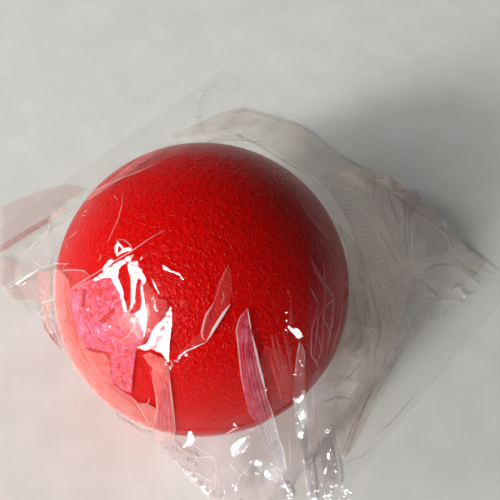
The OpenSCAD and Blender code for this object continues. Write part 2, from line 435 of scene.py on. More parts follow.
def crinkle(piece, count, seed, lengths, widths, heights, where):
    """Lays many random folds over the film, most of them running away from the ball."""
    places, normals = vertex_arrays(piece)
    pick = np.random.RandomState(seed)
    sites = np.flatnonzero(where(places))
    total = np.zeros(len(places))
    for _ in range(count):
        centre = places[pick.choice(sites)]
        normal = normals[np.argmin(np.linalg.norm(places - centre, axis=1))]
        outward = np.array([centre[0], centre[1], centre[2] - BALL_Z - WRAP_R])
        outward -= normal * (outward @ normal)
        turn = pick.normal(0, 0.55)
        sideways = np.cross(normal, outward)
        along = outward * math.cos(turn) + sideways * math.sin(turn)
        along /= np.linalg.norm(along) + 1e-12
        size = pick.uniform(0, 1) ** 1.5
        half = lengths[0] + (lengths[1] - lengths[0]) * size
        near = pick.uniform(*widths) * (0.5 + size)
        far = pick.uniform(*widths) * (0.5 + size)
        top = heights[0] + (heights[1] - heights[0]) * size * pick.uniform(0.5, 1)
        total += crease(places, normals, centre, along, half, near, far, top)
    piece.data.vertices.foreach_set("co", (places + normals * total[:, None]).ravel())
    piece.data.update()


def on_ball(places):
    """True where the film lies against the ball."""
    return np.linalg.norm(places - CENTRE, axis=1) < WRAP_R + 0.3 * MM


def on_slope(places):
    """True where the film hangs free between the ball and its edges."""
    off = np.linalg.norm(places - CENTRE, axis=1) > WRAP_R + 1.5 * MM
    return off & (places[:, 2] > 1 * MM)


# Points round the upper film, and its rings on the ball, on the slope and along the edge
AROUND, WRAP_RINGS, FALL_RINGS, EDGE_RINGS = 520, 92, 88, 9
FILM_RINGS = WRAP_RINGS + FALL_RINGS + EDGE_RINGS


def make_upper_film(material):
    """The film over the ball, drawn out to the bag's edges."""
    angles = np.linspace(0, 2 * math.pi, AROUND, endpoint=False)
    rings = film_points(angles, WRAP_RINGS, FALL_RINGS, EDGE_RINGS)
    rows, count = rings.shape[:2]
    a = np.arange(count)
    b = (a + 1) % count
    quads = [
        np.column_stack([row * count + a, row * count + count + a, row * count + count + b, row * count + b])
        for row in range(rows - 1)
    ]
    crown = [[rows * count, i, j] for i, j in zip(a.tolist(), b.tolist())]
    points = np.vstack([rings.reshape(-1, 3), [0, 0, BALL_Z + WRAP_R]])
    piece = new_piece("upper_film_sheet", points.tolist(), np.vstack(quads).tolist() + crown, material)
    crinkle(
        piece, count=40, seed=3, lengths=(4 * MM, 16 * MM), widths=(0.8 * MM, 2.5 * MM),
        heights=(0.08 * MM, 0.3 * MM), where=on_ball,
    )
    crinkle(
        piece, count=110, seed=5, lengths=(8 * MM, 34 * MM), widths=(1.2 * MM, 4 * MM),
        heights=(0.2 * MM, 1.0 * MM), where=on_slope,
    )
    return piece


# --- folds in the film, laid over it as doubled strips and tilted facets ---
# Each outline and line gives points of the main view, right and down in pixels of its frame.

PIXELS_PER_MM = BALL_RADIUS_PIXELS / (BALL_R / MM)
# How far film that misses the sheet may lie beyond its right end
EAR = 8 * MM

# Smooth mirror-like facets that face the light
FACETS = [
    [(117, 241), (119, 242), (118, 249), (117, 256), (115, 253), (115, 247)],
    [(118, 242), (121, 245), (125, 248), (131, 247), (133, 250), (129, 251), (124, 252), (117, 257),
        (119, 252), (123, 250), (120, 247)],
    [(105, 265), (109, 260), (111, 258), (114, 260), (110, 265), (105, 268), (102, 270)],
    [(93, 279), (101, 274), (105, 269), (117, 263), (130, 256), (134, 254), (131, 260), (124, 264),
        (119, 268), (118, 275), (115, 279), (111, 278), (105, 277), (99, 280), (94, 281)],
    [(111, 277), (117, 274), (120, 282), (123, 290), (124, 299), (127, 309), (129, 315), (127, 315),
        (124, 311), (122, 302), (119, 293), (114, 284)],
    [(127, 263), (132, 262), (138, 261), (139, 267), (142, 271), (146, 279), (145, 284), (142, 285),
        (141, 279), (138, 279), (136, 285), (135, 294), (135, 302), (130, 311), (128, 315), (129, 310),
        (131, 302), (131, 290), (131, 281), (129, 272)],
    [(140, 285), (142, 286), (144, 295), (145, 304), (147, 312), (147, 319), (146, 330), (143, 341),
        (143, 331), (141, 326), (137, 317), (134, 313), (140, 311), (142, 303), (141, 294)],
    [(137, 347), (148, 343), (150, 335), (155, 326), (164, 319), (167, 312), (171, 306), (172, 314),
        (172, 324), (170, 339), (169, 352), (169, 362), (166, 360), (162, 354), (158, 351), (155, 350),
        (158, 344), (162, 339), (165, 331), (166, 323), (161, 328), (158, 334), (155, 341), (150, 348),
        (146, 351)],
    [(152, 279), (155, 283), (159, 292), (160, 295), (157, 291), (154, 285)],
    [(162, 265), (164, 265), (170, 270), (179, 273), (181, 276), (173, 273), (164, 270)],
    [(181, 276), (184, 279), (183, 280), (180, 278)],
    [(141, 256), (142, 257), (142, 260), (141, 260)],
    [(287, 327), (290, 326), (294, 329), (297, 328), (301, 333), (303, 336), (299, 339), (297, 339),
        (294, 334), (289, 329)],
    [(233, 445), (240, 439), (246, 437), (243, 443), (237, 449), (232, 451)],
    [(247, 464), (252, 461), (257, 460), (262, 463), (260, 466), (253, 465)],
    [(262, 470), (268, 471), (271, 476), (266, 477)],
    [(281, 480), (286, 485), (291, 494), (286, 489)],
    [(188, 428), (191, 431), (194, 436), (194, 442), (191, 445), (182, 448), (187, 442), (188, 436)],
    [(298, 430), (300, 428), (303, 431), (303, 437), (300, 439), (298, 436)],
    [(293, 397), (298, 399), (303, 393), (304, 399), (299, 403), (295, 402)],
    [(297, 412), (304, 410), (305, 418), (299, 420)],
    [(324, 432), (327, 429), (330, 430), (328, 433), (325, 434)],
    [(329, 451), (330, 455), (330, 460), (328, 459), (327, 455)],
    [(326, 467), (327, 468), (325, 475), (324, 479), (324, 473)],
    [(447, 236), (450, 241), (453, 250), (450, 249), (448, 243)],
]

# Crumples that glitter: how many tiny facets, and the outline that they lie in
GLITTER = [
    (9, [(152, 298), (157, 299), (157, 314), (153, 310)]),
    (9, [(165, 361), (177, 360), (176, 368), (167, 370)]),
    (7, [(231, 424), (240, 424), (239, 428), (230, 429)]),
    (4, [(248, 428), (256, 427), (254, 431), (248, 432)]),
    (30, [(306, 486), (320, 484), (340, 486), (352, 489), (350, 500), (310, 500)]),
    (22, [(228, 447), (233, 441), (242, 434), (249, 435), (251, 443), (244, 451), (236, 456), (230, 456)]),
    (30, [(240, 472), (247, 462), (256, 458), (264, 461), (280, 464), (282, 472), (276, 479), (262, 479)]),
    (14, [(268, 476), (280, 476), (289, 484), (296, 500), (288, 500), (278, 484)]),
    (14, [(294, 400), (303, 396), (306, 424), (308, 440), (298, 440), (295, 420)]),
    (20, [(298, 442), (308, 442), (313, 462), (316, 500), (309, 500), (304, 464)]),
    (8, [(238, 476), (244, 472), (240, 490), (232, 494), (224, 492)]),
    (5, [(421, 284), (428, 283), (428, 289), (421, 289)]),
    (7, [(448, 288), (458, 290), (466, 298), (450, 298)]),
    (4, [(437, 275), (443, 275), (443, 279), (437, 279)]),
    (3, [(76, 310), (90, 309), (82, 317)]),
    (6, [(94, 328), (110, 323), (112, 340), (98, 337)]),
    (5, [(286, 290), (291, 290), (291, 334), (285, 334)]),
    (4, [(294, 370), (296, 370), (296, 378), (294, 378)]),
    (7, [(179, 356), (186, 350), (202, 341), (208, 341), (190, 354), (180, 360)]),
    (8, [(250, 336), (254, 336), (264, 378), (270, 402), (266, 402), (258, 378)]),
    (8, [(297, 344), (304, 352), (304, 392), (300, 396), (300, 352)]),
    (10, [(270, 412), (280, 440), (294, 498), (290, 498), (276, 440), (268, 414)]),
    (8, [(304, 400), (316, 484), (312, 484), (300, 404)]),
    (6, [(332, 444), (341, 498), (337, 498), (329, 450)]),
    (6, [(2, 294), (38, 268), (42, 272), (8, 296)]),
]

# Film folded in under the ball's left side, which thickens towards the ball's rim. Its pale pink is partly
# the doubled film and partly painted sheen.
RIM = [(55, 268), (54, 290), (57, 316), (63, 341), (76, 367), (94, 391), (117, 409), (137, 423), (153, 431)]
RIM_FOLDS = [
    [(60, 272), (60, 290), (63, 314), (69, 337), (81, 361), (98, 384), (119, 402), (139, 416), (155, 427)],
    [(66, 274), (65, 291), (67, 313), (73, 334), (85, 357), (101, 379), (122, 396), (141, 410), (156, 421)],
    [(70, 280), (71, 292), (74, 311), (78, 328), (84, 342), (91, 354), (101, 372), (114, 384), (131, 395),
        (142, 404), (158, 410)],
]

# Loose film: its finish, its outline and the outlines of the holes in it. Many lay painted sheen, a painted
# reflection or painted shade over the film.
VEILS = [
    *[("blush", RIM + fold[::-1]) for fold in RIM_FOLDS],
    ("rosy_faint", [(66, 285), (84, 282), (104, 275), (114, 280), (122, 298), (128, 312), (142, 320),
        (143, 345), (136, 352), (134, 366), (131, 393), (112, 384), (95, 372), (82, 350), (74, 325),
        (69, 300)]),
    ("rosy_faint", [(0, 206), (4, 207), (7, 203), (11, 204), (14, 200), (18, 201), (21, 197), (25, 198),
        (28, 194), (32, 195), (35, 191), (39, 193), (42, 189), (46, 191), (49, 187), (53, 189), (56, 185),
        (60, 188), (63, 184), (67, 187), (70, 184), (74, 187), (77, 186), (81, 189), (84, 188), (88, 191),
        (80, 197), (55, 211), (28, 227), (0, 245)]),
    ("rosy", [(0, 246), (28, 228), (55, 213), (80, 200), (99, 189), (122, 172), (143, 156), (158, 150),
        (148, 160), (122, 179), (99, 195), (80, 206), (55, 219), (28, 235), (0, 253)]),
    ("hazy", [(0, 252), (28, 232), (55, 216), (80, 202), (72, 220), (64, 240), (58, 264), (40, 268),
        (20, 281), (0, 292)]),
    ("rosy_faint", [(0, 256), (8, 257), (17, 262), (24, 270), (14, 280), (0, 288)]),
    ("rosy_faint", [(0, 295), (22, 280), (40, 269), (56, 272), (52, 285), (38, 301), (5, 301)]),
    ("faint", [(5, 301), (38, 302), (41, 319), (22, 312)]),
    ("rosy", [(38, 270), (50, 274), (51, 300), (54, 320), (61, 338), (60, 346), (52, 338), (45, 318),
        (40, 292)]),
    ("rosy_faint", [(48, 272), (57, 270), (57, 300), (62, 330), (76, 362), (72, 362), (60, 345), (52, 320)]),
    ("hazy", [(57, 268), (73, 268), (86, 270), (92, 276), (71, 291), (69, 299), (60, 300)]),
    ("mottled", [(70, 291), (82, 284), (93, 279), (104, 275), (112, 279), (118, 289), (122, 300), (126, 312),
        (134, 313), (140, 320), (143, 331), (143, 343), (137, 347), (136, 352), (135, 362), (133, 376),
        (132, 392), (124, 390), (113, 381), (110, 370), (112, 352), (103, 350), (94, 349), (85, 347),
        (80, 338), (77, 326), (74, 312), (71, 300)], [(84, 289), (88, 289), (87, 296), (86, 307), (82, 307),
        (83, 299)], [(115, 306), (116, 312), (110, 318), (105, 323), (100, 321), (104, 316), (111, 311)],
        [(119, 362), (121, 364), (121, 368), (118, 366)], [(122, 377), (125, 381), (124, 384), (122, 381)]),
    ("lilac", [(94, 327), (101, 328), (109, 322), (113, 324), (110, 330), (114, 339), (116, 344), (109, 338),
        (104, 341), (98, 337)]),
    ("lilac", [(96, 344), (103, 343), (110, 346), (103, 348)]),
    ("lilac", [(71, 293), (78, 291), (81, 298), (79, 308), (76, 314), (73, 306)]),
    ("lilac", [(76, 316), (82, 315), (86, 327), (84, 336), (80, 332)]),
    ("rosy", [(106, 329), (109, 320), (116, 315), (126, 314), (135, 316), (140, 322), (142, 332), (139, 341),
        (130, 345), (118, 343), (110, 338)]),
    ("salmon", [(80, 338), (86, 348), (94, 352), (104, 353), (110, 359), (112, 372), (114, 384), (104, 378),
        (95, 370), (86, 356)]),
    ("rosy_faint", [(140, 285), (146, 279), (152, 290), (158, 298), (166, 300), (168, 312), (155, 326),
        (149, 336), (143, 345), (144, 330), (147, 316), (144, 300)]),
    ("salmon", [(143, 355), (150, 352), (159, 356), (152, 367), (148, 362)]),
    ("blush", [(152, 369), (159, 360), (165, 364), (165, 374), (158, 378), (153, 376)]),
    ("salmon", [(138, 403), (147, 404), (158, 408), (156, 427), (147, 422)]),
    ("salmon", [(152, 362), (160, 356), (167, 361), (169, 377), (172, 395), (173, 412), (175, 429),
        (174, 440), (156, 440), (155, 426), (157, 410), (156, 392), (153, 376)]),
    ("faint", [(137, 402), (148, 402), (157, 409), (152, 425), (148, 420)]),
    ("faint", [(227, 267), (231, 273), (232, 290), (229, 304), (219, 320), (210, 335), (206, 340),
        (202, 331), (206, 315), (214, 301), (220, 283)]),
    ("faint", [(201, 331), (180, 351), (178, 358), (185, 352), (207, 341)]),
    ("magenta", [(247, 308), (249, 321), (252, 336), (256, 352), (259, 367), (263, 382), (267, 396),
        (272, 413), (262, 424), (256, 421), (247, 411), (244, 393), (241, 376), (239, 356), (236, 336),
        (236, 329), (239, 318)]),
    ("milky", [(262, 424), (272, 413), (278, 437), (283, 450), (287, 475), (294, 500), (288, 490),
        (276, 466), (270, 446), (264, 434)]),
    ("faint", [(264, 345), (276, 350), (292, 380), (292, 400), (274, 412), (268, 390), (260, 362)]),
    ("hazy", [(290, 304), (294, 324), (287, 325)]),
    ("bunched", [(298, 341), (301, 344), (304, 352), (304, 389), (299, 396), (292, 397), (294, 377),
        (296, 353)]),
    ("milky", [(150, 348), (158, 335), (166, 324), (170, 330), (168, 352), (158, 351)]),
    ("milky", [(230, 446), (242, 436), (250, 436), (250, 443), (238, 454), (232, 455)]),
    ("milky", [(242, 470), (247, 464), (256, 459), (264, 462), (276, 466), (284, 480), (292, 498),
        (284, 488), (272, 479), (258, 477), (248, 470)]),
    ("milky", [(292, 397), (298, 396), (303, 389), (306, 405), (307, 424), (309, 439), (312, 462),
        (315, 481), (316, 500), (309, 500), (307, 481), (304, 462), (302, 449), (297, 439), (294, 429),
        (295, 416), (294, 405)]),
    ("maroon", [(308, 252), (318, 272), (334, 298), (345, 300), (349, 290), (346, 330), (336, 356),
        (322, 378), (316, 372), (306, 392), (305, 340), (308, 300)]),
    ("maroon", [(296, 168), (318, 186), (336, 212), (347, 244), (350, 285), (340, 300), (324, 288),
        (312, 262), (306, 232), (300, 205), (290, 190)]),
    ("bunched", [(306, 392), (316, 367), (322, 379), (329, 411), (334, 440), (340, 466), (341, 500),
        (318, 500), (314, 470), (309, 440), (308, 410)]),
    ("shade", [(321, 450), (327, 443), (334, 442), (338, 466), (336, 484), (326, 482), (321, 470)]),
    ("bunched", [(155, 440), (174, 439), (182, 449), (198, 456), (215, 455), (219, 474), (220, 500),
        (160, 500)]),
    ("bunched", [(174, 436), (225, 433), (262, 424), (276, 466), (292, 500), (220, 500), (218, 462),
        (200, 454)]),
    ("ruddy", [(310, 178), (326, 186), (342, 205), (354, 230), (364, 262), (368, 300), (364, 338),
        (350, 366), (334, 390), (323, 380), (337, 353), (346, 326), (350, 290), (346, 250), (330, 215)]),
    ("ruddy", [(344, 318), (352, 316), (366, 326), (366, 346), (352, 352), (342, 346)]),
    ("shade", [(414, 219), (424, 221), (447, 238), (449, 250), (436, 262), (414, 263)]),
    ("dim", [(150, 152), (167, 140), (180, 132), (206, 120), (224, 112), (239, 109), (250, 110), (275, 118),
        (304, 126), (320, 138), (340, 147), (351, 160), (378, 168), (402, 174), (420, 185), (438, 203),
        (449, 221), (458, 234), (474, 252), (486, 262), (470, 282), (452, 290), (436, 280), (411, 281),
        (398, 330), (376, 395), (344, 460), (333, 432), (328, 400), (322, 378), (336, 352), (345, 326),
        (350, 290), (346, 250), (330, 215), (310, 190), (288, 169), (260, 154), (236, 147), (210, 143),
        (182, 147)]),
    ("dim", [(340, 150), (402, 174), (413, 184), (411, 240), (411, 280), (398, 330), (384, 360), (374, 340),
        (368, 300), (356, 262), (340, 222), (330, 190)]),
    ("hazy", [(99, 187), (122, 169), (143, 153), (150, 152), (180, 140), (200, 139), (185, 150), (160, 164),
        (141, 172), (122, 179), (106, 187)]),
    ("faint", [(180, 140), (212, 136), (240, 140), (268, 150), (290, 165), (270, 172), (240, 160),
        (200, 152), (170, 158)]),
]

# The finish of the film that each kind of crease is made of. Bright creases carry painted glints, sharp ones
# whitened film with painted glints, dark ones painted shade and pink ones a painted reflection of the ball;
# pale, soft and wisp ones are partly the film's haze and partly painted sheen.
CREASED_OF = {
    "sharp": "creased", "bright": "white", "soft": "hazy", "pale": "bunched", "wisp": "hazy",
    "dark": "shade", "pink": "rosy", "lilac": "magenta",
}
# How many ridges lie in each other, and how steep they are, for the kinds that aren't soft
STEEP = 0.8
CREASE_FORMS = {"sharp": (1, 0.3), "bright": (1, 0.3), "dark": (3, STEEP)}
SOFT_FORM = (3, 0.25)

# Creases: their kind, their widest width in millimetres and their points
CREASES = [
    ("bright", 0.5, [(0, 292), (6, 291), (17, 284), (29, 276), (40, 269)]),
    ("sharp", 0.2, [(40, 269), (46, 266), (57, 264), (70, 264)]),
    ("sharp", 0.15, [(57, 272), (74, 270), (85, 271), (91, 276)]),
    ("sharp", 0.2, [(64, 270), (66, 265), (71, 263)]),
    ("sharp", 0.2, [(71, 291), (93, 276), (113, 263), (133, 251), (149, 240), (166, 230)]),
    ("sharp", 0.12, [(72, 289), (92, 275)]),
    ("pale", 0.9, [(29, 252), (33, 246), (38, 240), (46, 230), (51, 224)]),
    ("pale", 0.5, [(23, 262), (26, 255), (30, 248)]),
    ("pale", 0.5, [(60, 244), (54, 252), (50, 262)]),
    ("sharp", 0.15, [(4, 300), (38, 301)]),
    ("soft", 0.9, [(47, 292), (49, 310), (55, 328), (62, 342), (69, 358), (80, 378), (98, 394), (122, 412),
        (148, 429)]),
    ("sharp", 0.25, [(49, 300), (53, 322), (61, 342), (70, 358), (82, 376)]),
    ("pink", 0.5, [(39, 292), (42, 314), (46, 328), (55, 342), (63, 354)]),
    ("sharp", 0.15, [(0, 244), (28, 226), (55, 210), (80, 197), (99, 186), (122, 169), (144, 153)]),
    ("sharp", 0.3, [(82, 199), (97, 191), (121, 180), (141, 172), (159, 164)]),
    ("dark", 0.35, [(96, 192), (118, 175), (132, 164), (142, 160)]),
    ("dark", 0.4, [(122, 178), (136, 168), (150, 162), (160, 158)]),
    ("pale", 0.4, [(110, 184), (128, 170), (146, 158), (162, 150)]),
    ("sharp", 0.15, [(124, 193), (123, 205), (119, 220), (113, 233), (109, 243)]),
    ("sharp", 0.12, [(114, 196), (119, 201)]),
    ("bright", 0.5, [(85, 214), (88, 211)]),
    ("sharp", 0.12, [(82, 216), (86, 217), (89, 215)]),
    ("sharp", 0.12, [(66, 242), (70, 251)]),
    ("sharp", 0.12, [(68, 240), (80, 231)]),
    ("sharp", 0.15, [(117, 241), (124, 240), (130, 244), (133, 250)]),
    ("sharp", 0.15, [(101, 254), (102, 258), (99, 262)]),
    ("dark", 0.3, [(142, 343), (149, 342), (157, 340)]),
    ("dark", 0.35, [(164, 316), (168, 308), (168, 300)]),
    ("soft", 0.7, [(197, 119), (197, 104), (202, 92), (213, 88), (224, 92)]),
    ("dark", 0.2, [(71, 296), (73, 312), (76, 326), (81, 342)]),
    ("dark", 0.3, [(85, 347), (94, 349), (104, 351)]),
    ("dark", 0.2, [(110, 358), (112, 376), (124, 390), (131, 394)]),
    ("sharp", 0.2, [(122, 340), (129, 335), (134, 328), (136, 321)]),
    ("sharp", 0.25, [(131, 394), (137, 402), (144, 412), (152, 426)]),
    ("sharp", 0.15, [(138, 403), (148, 403), (158, 408)]),
    ("sharp", 0.15, [(141, 401), (147, 403), (150, 400), (149, 395)]),
    ("sharp", 0.2, [(168, 361), (172, 395), (176, 429), (173, 438)]),
    ("sharp", 0.2, [(151, 368), (156, 390), (158, 408), (153, 428)]),
    ("bright", 0.5, [(230, 304), (224, 312), (219, 320), (214, 328), (210, 335), (207, 340)]),
    ("sharp", 0.4, [(207, 341), (203, 338), (202, 331), (206, 315), (214, 302)]),
    ("soft", 0.4, [(214, 302), (220, 283), (227, 267)]),
    ("sharp", 0.12, [(222, 290), (224, 298), (221, 303)]),
    ("bright", 0.22, [(207, 341), (194, 347), (185, 351), (179, 357), (178, 362)]),
    ("sharp", 0.2, [(171, 359), (173, 366)]),
    ("bright", 0.22, [(247, 308), (249, 321), (251, 332)]),
    ("bright", 0.5, [(251, 332), (254, 345), (258, 364), (262, 379), (266, 395)]),
    ("bright", 0.3, [(266, 395), (272, 413), (278, 437), (283, 450), (287, 475), (294, 500)]),
    ("sharp", 0.3, [(247, 308), (239, 318), (236, 329), (237, 336), (239, 356), (241, 376), (244, 393)]),
    ("bright", 0.3, [(287, 290), (287, 292)]),
    ("bright", 0.3, [(289, 300), (290, 302)]),
    ("bright", 0.3, [(286, 332), (286, 334)]),
    ("bright", 0.2, [(299, 340), (298, 346), (296, 354)]),
    ("sharp", 0.3, [(296, 353), (295, 365), (294, 378)]),
    ("sharp", 0.25, [(300, 343), (303, 351), (304, 364)]),
    ("bright", 0.22, [(300, 366), (304, 365)]),
    ("soft", 0.4, [(294, 372), (293, 385), (292, 397)]),
    ("soft", 0.4, [(304, 364), (304, 377), (304, 389)]),
    ("bright", 0.35, [(292, 397), (295, 398), (299, 397), (303, 394), (304, 388)]),
    ("bright", 0.22, [(304, 388), (306, 405), (307, 424), (309, 439), (312, 462), (315, 481), (316, 500)]),
    ("bright", 0.22, [(292, 397), (294, 405), (295, 416), (294, 429)]),
    ("sharp", 0.35, [(294, 429), (297, 439), (302, 449), (304, 462), (307, 481), (309, 500)]),
    ("sharp", 0.15, [(309, 288), (313, 296), (317, 303)]),
    ("pale", 0.35, [(317, 303), (315, 315), (311, 325), (310, 336), (310, 355), (314, 360), (320, 373)]),
    ("pale", 0.35, [(323, 306), (317, 317), (315, 336), (312, 355)]),
    ("pale", 0.4, [(334, 298), (323, 307)]),
    ("soft", 1.2, [(310, 260), (316, 273), (324, 286), (334, 298)]),
    ("pale", 0.3, [(321, 315), (325, 324), (329, 333)]),
    ("pale", 0.3, [(317, 336), (320, 350), (315, 362)]),
    ("soft", 0.5, [(320, 373), (325, 393), (329, 413), (334, 440)]),
    ("soft", 0.8, [(296, 196), (306, 214), (320, 232), (330, 240)]),
    ("pale", 0.3, [(300, 184), (312, 200), (326, 222), (336, 246)]),
    ("bright", 0.22, [(334, 442), (339, 466), (340, 485), (341, 500)]),
    ("bright", 0.3, [(327, 443), (331, 442), (334, 442)]),
    ("bright", 0.22, [(229, 460), (233, 466), (238, 472)]),
    ("bright", 0.22, [(238, 482), (239, 475), (247, 469)]),
    ("bright", 0.22, [(173, 438), (182, 449), (198, 456), (215, 455)]),
    ("bright", 0.22, [(194, 443), (202, 449), (214, 455)]),
    ("soft", 0.4, [(215, 455), (219, 475), (220, 500)]),
    ("bright", 0.25, [(225, 433), (232, 429), (239, 426)]),
    ("soft", 1.2, [(246, 440), (258, 436), (266, 446)]),
    ("soft", 1.0, [(196, 470), (206, 478), (214, 480)]),
    ("sharp", 0.25, [(319, 474), (322, 484), (324, 492)]),
    ("sharp", 0.3, [(436, 277), (445, 290), (452, 286)]),
    ("sharp", 0.3, [(449, 292), (456, 286), (463, 295), (471, 290)]),
    ("pale", 0.9, [(345, 151), (354, 163), (363, 168), (379, 168)]),
    ("pale", 1.2, [(378, 168), (398, 172), (412, 180), (425, 192), (437, 203), (445, 215), (458, 232)]),
    ("pale", 1.6, [(437, 203), (450, 222), (468, 245), (485, 262), (499, 272)]),
    ("pale", 1.6, [(411, 184), (416, 191), (415, 205), (410, 216)]),
    ("pale", 0.6, [(412, 222), (413, 250), (411, 276)]),
    ("pale", 1.3, [(402, 188), (405, 215), (404, 240), (408, 266)]),
    ("wisp", 1.3, [(386, 188), (392, 212), (398, 235), (404, 262), (411, 285)]),
    ("pale", 1.0, [(372, 215), (380, 235), (390, 252), (401, 270)]),
    ("pale", 2.2, [(385, 262), (393, 288), (398, 312)]),
    ("dark", 0.5, [(375, 176), (374, 190), (371, 208)]),
    ("dark", 0.6, [(388, 196), (394, 213), (400, 228)]),
    ("dark", 0.4, [(380, 205), (387, 228), (396, 248)]),
    ("dark", 0.4, [(409, 205), (409, 230), (408, 250)]),
    ("wisp", 1.3, [(362, 180), (366, 205), (374, 226)]),
    ("pale", 1.0, [(447, 234), (450, 241), (453, 248)]),
    ("pale", 0.9, [(424, 271), (434, 266), (446, 264), (452, 268)]),
    ("pale", 1.6, [(412, 279), (422, 282), (430, 290), (440, 298)]),
    ("wisp", 1.6, [(452, 250), (470, 264), (492, 276)]),
    ("wisp", 1.4, [(448, 264), (462, 270), (482, 288)]),
    ("dark", 0.4, [(452, 258), (468, 270), (484, 280)]),
    ("pale", 0.9, [(446, 292), (458, 284), (466, 296), (476, 292)]),
    ("wisp", 1.5, [(400, 292), (424, 300), (452, 300), (470, 304)]),
    ("soft", 0.5, [(150, 152), (167, 140), (180, 132), (206, 120), (224, 112), (239, 109), (250, 110),
        (275, 118), (304, 126), (320, 138), (340, 147), (351, 160), (360, 167)]),
    ("wisp", 1.8, [(206, 122), (226, 114), (246, 112), (275, 120), (300, 128), (318, 138), (340, 150)]),
    ("dark", 0.3, [(212, 131), (228, 132), (246, 137), (262, 146), (275, 155), (288, 164), (306, 178),
        (324, 192), (331, 200)]),
    ("pale", 0.3, [(200, 131), (228, 134), (246, 140), (262, 149), (275, 158), (288, 168), (306, 181)]),
    ("sharp", 0.2, [(344, 152), (353, 166), (372, 170)]),
    ("bright", 0.3, [(282, 156), (288, 159)]),
    ("pale", 0.9, [(350, 236), (364, 260), (378, 284), (388, 306), (394, 326)]),
    ("dark", 0.5, [(354, 268), (359, 278), (364, 288)]),
    ("dark", 0.5, [(363, 262), (370, 290), (377, 321), (378, 333), (374, 352), (372, 386)]),
    ("dark", 0.4, [(372, 386), (362, 412), (351, 441), (343, 462)]),
    ("dark", 0.4, [(387, 346), (384, 360), (380, 372)]),
    ("dark", 0.4, [(396, 326), (395, 349), (387, 373)]),
    ("pale", 0.8, [(383, 300), (385, 325), (380, 350)]),
    ("wisp", 1.4, [(368, 300), (370, 322), (366, 350), (358, 378)]),
    ("wisp", 1.6, [(400, 330), (396, 352), (384, 378), (370, 404)]),
    ("dark", 0.18, [(421, 395), (412, 404), (403, 408), (397, 421), (386, 427), (377, 433), (372, 441)]),
    ("dark", 0.18, [(368, 447), (366, 456), (355, 459), (343, 465)]),
    ("pale", 0.7, [(364, 405), (350, 430), (340, 456)]),
    ("soft", 0.5, [(344, 460), (358, 434), (372, 406), (390, 380)]),
    ("wisp", 1.0, [(352, 300), (368, 330), (366, 372), (350, 415)]),
    ("wisp", 0.8, [(336, 372), (352, 360), (368, 352)]),
    ("dark", 0.5, [(338, 384), (352, 372), (362, 358)]),
    ("dark", 0.7, [(320, 402), (336, 396), (352, 398)]),
    ("pale", 1.2, [(328, 380), (344, 376), (356, 384)]),
    ("pale", 1.4, [(336, 400), (350, 392), (360, 376)]),
]

# Streaks between two lines: how many, their kind of crease, their width in millimetres and the points of each
# side. Where each side is two points, they are the ribs of the long seal, drawn as dark lines of painted
# shade.
STREAKS = [
    (9, "lilac", 0.3, [(244, 318), (238, 345), (241, 375), (246, 405), (260, 432), (280, 478)], [(249, 318),
        (254, 350), (261, 378), (269, 405), (276, 436), (290, 482)]),
    (6, "pale", 0.25, [(247, 330), (244, 352), (246, 378), (252, 405), (264, 432), (283, 478)], [(250, 330),
        (255, 352), (261, 378), (268, 400), (276, 432), (288, 482)]),
    (5, "lilac", 0.35, [(156, 378), (158, 392), (159, 405), (157, 418), (157, 438)], [(165, 372), (168, 385),
        (171, 400), (172, 415), (173, 438)]),
    (3, "pale", 0.3, [(297, 345), (296, 360), (295, 375), (294, 392)], [(301, 348), (303, 362), (303, 376),
        (302, 390)]),
    (5, "pale", 0.45, [(296, 405), (298, 425), (301, 440), (306, 470), (310, 498)], [(304, 405), (306, 425),
        (307, 440), (311, 470), (314, 498)]),
    (6, "pale", 0.35, [(309, 375), (311, 395), (312, 410), (314, 440), (320, 480)], [(318, 376), (323, 388),
        (327, 410), (332, 440), (336, 478)]),
    (3, "soft", 0.6, [(316, 262), (318, 290), (316, 320), (318, 350)], [(344, 258), (346, 290), (342, 325),
        (330, 356)]),
    (5, "soft", 0.8, [(264, 336), (268, 356), (276, 380), (282, 402)], [(284, 330), (290, 352), (293, 378),
        (292, 396)]),
    (5, "dark", 0.5, [(342, 258), (352, 284), (360, 310), (362, 340)], [(378, 262), (388, 290), (392, 315),
        (386, 345)]),
    (26, "dark", 0.12, [(250, 150), (258, 128)], [(305, 176), (318, 148)]),
    (22, "dark", 0.12, [(318, 190), (330, 164)], [(350, 236), (370, 206)]),
    (18, "dark", 0.12, [(352, 240), (371, 210)], [(366, 280), (388, 256)]),
    (3, "dark", 0.25, [(362, 300), (366, 330), (362, 360), (350, 400), (338, 430)], [(392, 300), (394, 330),
        (390, 356), (372, 396), (346, 440)]),
    (7, "pale", 0.5, [(362, 176), (372, 200), (384, 226), (400, 262)], [(404, 180), (408, 204), (410, 230),
        (411, 262)]),
    (7, "pale", 0.5, [(412, 190), (428, 208), (440, 228), (456, 252)], [(424, 190), (440, 206), (456, 230),
        (480, 262)]),
    (5, "soft", 0.9, [(345, 420), (338, 440), (334, 460)], [(372, 400), (358, 432), (345, 456)]),
]


class Sheetlets:
    """Points and faces of many small pieces of film that become one mesh."""

    def __init__(self):
        self.points = []
        self.faces = []

    def add(self, points, faces):
        start = len(self.points)
        self.points += [tuple(p) for p in points]
        self.faces += [[start + i for i in face] for face in faces]


def sight(view, right, down):
    """The main view's line of sight through a point of its frame: start and direction."""
    place, turn, focal = view
    half = IMAGE_PIXELS / 2
    return place, (turn @ Vector((right - half, half - down, -focal))).normalized()


def meet_film(view, film, right, down, rise):
    """Where a line of sight meets the film, raised off it, and the film's normal there."""
    start, way = sight(view, right, down)
    hit, normal, _, distance = film.ray_cast(start, way)
    if hit is None:
        hit = start + way * ((start.z - RIM_Z) / -way.z)
        hit.x = min(max(hit.x, X_LEFT - 2 * EAR), X_RIGHT + EAR)
        hit.y = min(max(hit.y, Y_FRONT), Y_BACK)
        normal = Vector((0, 0, 1))
    if normal.dot(way) > 0:
        normal = -normal
    return hit + normal * rise, normal


